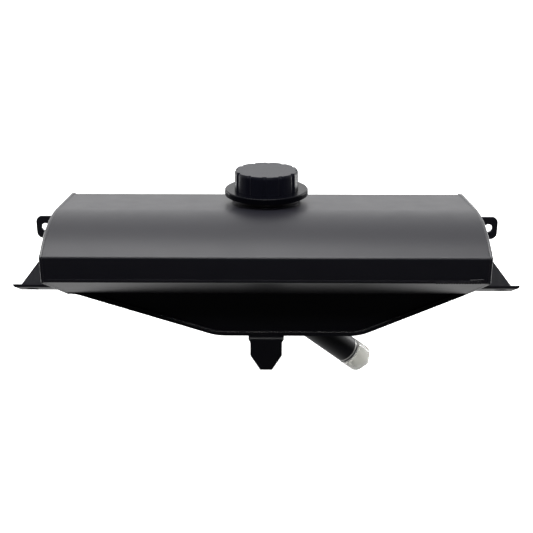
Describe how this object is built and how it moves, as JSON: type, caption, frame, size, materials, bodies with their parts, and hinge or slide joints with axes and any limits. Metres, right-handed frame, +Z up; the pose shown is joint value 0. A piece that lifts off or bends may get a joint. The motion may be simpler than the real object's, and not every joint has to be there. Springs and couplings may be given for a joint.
{
  "type": "hydraulic reservoir",
  "caption": "Black powder-coated welded sheet-metal hydraulic tank with a fluted screw filler cap, deep rear sump, angled capped outlet tube, foot brackets, rear ears and a locating tab.",
  "frame": {"origin": "midway between the two ear holes, on the ears' rear seating face", "axes": "+X along the tank to the outlet side, +Y to the rear out of the seating face, +Z up along the filler cap's axis"},
  "size_m": [0.478, 0.1609, 0.2275],
  "materials": {
    "black_powder_coat": "satin powder coat, fine orange peel",
    "black_plastic": "satin moulded plastic",
    "nitrile": "matt rubber",
    "bare_steel": "turned, bright",
    "spring_steel": "oiled dark wire",
    "stainless": "woven or pressed, satin",
    "natural_nylon": "moulded, matt",
    "foam": "open-cell foam",
    "brass": "turned",
    "clear_plastic": "milky translucent polyethylene"
  },
  "bodies": {
    "tank": {"top_front_shell": "black_powder_coat", "underside_plate": "black_powder_coat", "sump_front_plate": "black_powder_coat", "rear_panel": "black_powder_coat", "sump_pan": "black_powder_coat", "left_end_plate": "black_powder_coat", "right_end_plate": "black_powder_coat", "left_ear": "black_powder_coat", "right_ear": "black_powder_coat", "left_foot_bracket": "black_powder_coat", "right_foot_bracket": "black_powder_coat", "left_end_weld": "black_powder_coat", "right_end_weld": "black_powder_coat", "left_baffle": "black_powder_coat", "right_baffle": "black_powder_coat", "locating_tab": "black_powder_coat", "filler_neck": "black_powder_coat", "strainer_frame": "natural_nylon", "strainer_mesh": "stainless", "outlet_tube": "black_powder_coat", "outlet_spigot": "bare_steel", "spigot_clip": "spring_steel", "suction_strainer": "stainless", "return_bung": "black_powder_coat", "return_diffuser": "stainless", "front_seam_weld": "black_powder_coat", "rear_seam_weld": "black_powder_coat", "sump_weld": "black_powder_coat", "neck_weld": "black_powder_coat", "outlet_weld": "black_powder_coat", "return_weld": "black_powder_coat", "bracket_welds": "black_powder_coat"},
    "gasket": {"cap_gasket": "nitrile"},
    "filler_cap": {"cap_base": "black_plastic", "cap_knob": "black_plastic", "valve_cage": "natural_nylon", "breather_foam": "foam", "relief_spring": "spring_steel"},
    "relief_valve": {"relief_valve_disc": "brass"},
    "dust_cover": {"outlet_cover": "clear_plastic"}
  },
  "joints": [
    {"name": "cap_lift", "type": "slide", "parent": "tank", "child": "gasket", "axis": [0, 0, 1], "range_m": [0, 0.0091]},
    {"name": "cap_turn", "type": "hinge", "parent": "gasket", "child": "filler_cap", "pos_m": [0, -0.036, 0.0439], "axis": [0, 0, 1], "range_deg": [0, 810]},
    {"name": "relief_lift", "type": "slide", "parent": "filler_cap", "child": "relief_valve", "axis": [0, 0, 1], "range_m": [0, 0.003], "stiffness_N_per_m": 300, "springref_m": -0.004, "deforming": ["relief_spring"]},
    {"name": "cover_slide", "type": "slide", "parent": "tank", "child": "dust_cover", "axis": [0.7085, 0.2791, -0.6481], "range_m": [0, 0.025]}
  ],
  "couplings": [
    {"joint": "cap_lift", "follows": "cap_turn", "m_per_rad": 0.00063662}
  ]
}
